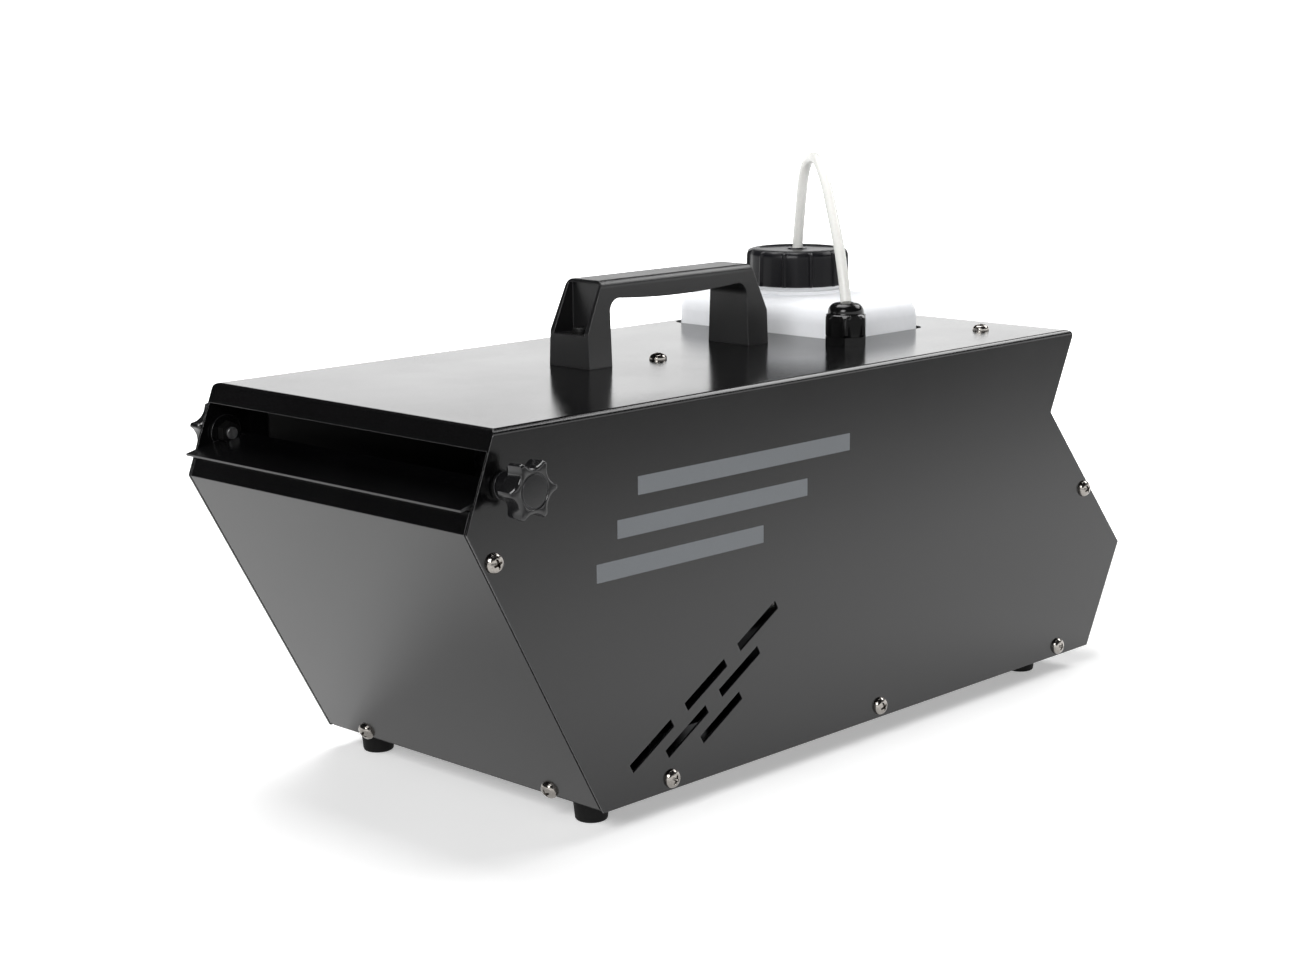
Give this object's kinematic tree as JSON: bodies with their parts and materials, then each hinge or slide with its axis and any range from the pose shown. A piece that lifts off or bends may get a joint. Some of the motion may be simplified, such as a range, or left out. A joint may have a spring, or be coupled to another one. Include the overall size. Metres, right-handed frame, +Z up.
{
  "type": "fog machine",
  "caption": "Tabletop fog machine with a wedge-ended casing, carry handle, lift-out fluid bottle, arched feed tube and a tilting outlet flap between two knobs.",
  "frame": {"origin": "centre of the bounding box at the level of the feet", "axes": "+Z up, -Y is the way the fog blows out, +X is the side beyond the handle from the bottle"},
  "size_m": [0.2402, 0.5274, 0.309],
  "materials": {
    "casing": "satin",
    "screw_steel": "satin",
    "zinc": "satin",
    "foot_rubber": "matte",
    "black_plastic": "satin",
    "gloss_black": "gloss",
    "bottle_plastic": "satin",
    "liner_foam": "matte",
    "clear_tube": "gloss",
    "seal_rubber": "matte",
    "polished_steel": "gloss",
    "mineral_wool": "matte",
    "cast_aluminium": "satin",
    "brass": "satin",
    "copper": "satin",
    "circuit_board": "satin",
    "components": "satin",
    "window": "gloss",
    "white_plastic": "satin",
    "red_plastic": "gloss"
  },
  "bodies": {
    "casing_unit": {"cover": "casing", "front_panel": "casing", "base_plate": "casing", "rear_panel": "casing", "casing_screws": "screw_steel", "feet": "foot_rubber", "foot_screws": "zinc", "handle": "black_plastic", "handle_bolts": "gloss_black", "knob_washers": "gloss_black", "gland_body": "gloss_black", "gland_seal": "seal_rubber", "gland_nut": "gloss_black", "gland_locknut": "gloss_black", "bottle_well": "zinc", "heater_shell": "polished_steel", "heater_insulation": "mineral_wool", "heater_core": "cast_aluminium", "heater_elements": "polished_steel", "heater_saddles": "zinc", "thermostat": "components", "vapour_pipe": "copper", "nozzle": "brass", "outlet_duct": "casing", "fan_frame": "black_plastic", "pump_body": "white_plastic", "pump_coil": "copper", "pump_frame": "zinc", "suction_hose": "clear_tube", "pressure_hose": "clear_tube", "power_board": "circuit_board", "power_board_parts": "components", "board_standoffs": "brass", "control_board": "circuit_board", "control_board_parts": "components", "display_window": "window", "signal_sockets": "black_plastic", "mains_inlet": "black_plastic", "mains_pins": "brass", "rocker_frame": "black_plastic", "small_screws": "screw_steel"},
    "flap": {"outlet_flap": "casing", "flap_nuts": "zinc"},
    "right_knob": {"knob_right": "gloss_black", "knob_right_stud": "zinc"},
    "left_knob": {"knob_left": "gloss_black", "knob_left_stud": "zinc"},
    "bottle_unit": {"bottle": "bottle_plastic", "tube_ends": "clear_tube", "fluid_tube": "clear_tube"},
    "cap_unit": {"bottle_cap": "black_plastic", "cap_liner": "liner_foam"},
    "fan_unit": {"fan_rotor": "black_plastic"},
    "piston_unit": {"pump_piston": "polished_steel"},
    "fuse_unit": {"fuse_drawer": "black_plastic"},
    "switch_unit": {"rocker": "red_plastic"},
    "press_1": {"button_1": "white_plastic"},
    "press_2": {"button_2": "white_plastic"},
    "press_3": {"button_3": "white_plastic"},
    "press_4": {"button_4": "white_plastic"}
  },
  "joints": [
    {"name": "flap_tilt", "type": "hinge", "parent": "casing_unit", "child": "flap", "pos_m": [-0.00555, -0.23975, 0.1805], "axis": [-1, 0, 0], "range_deg": [-4, 45]},
    {"name": "knob_right_turn", "type": "hinge", "parent": "casing_unit", "child": "right_knob", "pos_m": [0.09945, -0.23975, 0.1805], "axis": [1, 0, 0], "range_deg": [0, 360]},
    {"name": "knob_left_turn", "type": "hinge", "parent": "casing_unit", "child": "left_knob", "pos_m": [-0.11055, -0.23975, 0.1805], "axis": [-1, 0, 0], "range_deg": [0, 360]},
    {"name": "bottle_lift", "type": "slide", "parent": "casing_unit", "child": "bottle_unit", "axis": [0, 0, 1], "range_m": [0, 0.195]},
    {"name": "cap_turn", "type": "hinge", "parent": "bottle_unit", "child": "cap_unit", "pos_m": [-0.03855, 0.12375, 0.23], "axis": [0, 0, 1], "range_deg": [0, 360]},
    {"name": "fan_spin", "type": "hinge", "parent": "casing_unit", "child": "fan_unit", "pos_m": [-0.00555, -0.12525, 0.151], "axis": [0, 1, 0], "continuous": true},
    {"name": "pump_stroke", "type": "slide", "parent": "casing_unit", "child": "piston_unit", "axis": [0, 1, 0], "range_m": [-0.003, 0.003], "stiffness_N_per_m": 300},
    {"name": "fuse_drawer_pull", "type": "slide", "parent": "casing_unit", "child": "fuse_unit", "axis": [0, 0.8852, -0.4651], "range_m": [0, 0.016]},
    {"name": "rocker_tilt", "type": "hinge", "parent": "casing_unit", "child": "switch_unit", "pos_m": [0.00245, 0.24542, 0.04299], "axis": [-1, 0, 0], "range_deg": [0, 18]},
    {"name": "button_1_press", "type": "slide", "parent": "casing_unit", "child": "press_1", "axis": [0, -0.7605, -0.6494], "range_m": [0, 0.001], "stiffness_N_per_m": 400},
    {"name": "button_2_press", "type": "slide", "parent": "casing_unit", "child": "press_2", "axis": [0, -0.7605, -0.6494], "range_m": [0, 0.001], "stiffness_N_per_m": 400},
    {"name": "button_3_press", "type": "slide", "parent": "casing_unit", "child": "press_3", "axis": [0, -0.7605, -0.6494], "range_m": [0, 0.001], "stiffness_N_per_m": 400},
    {"name": "button_4_press", "type": "slide", "parent": "casing_unit", "child": "press_4", "axis": [0, -0.7605, -0.6494], "range_m": [0, 0.001], "stiffness_N_per_m": 400}
  ]
}
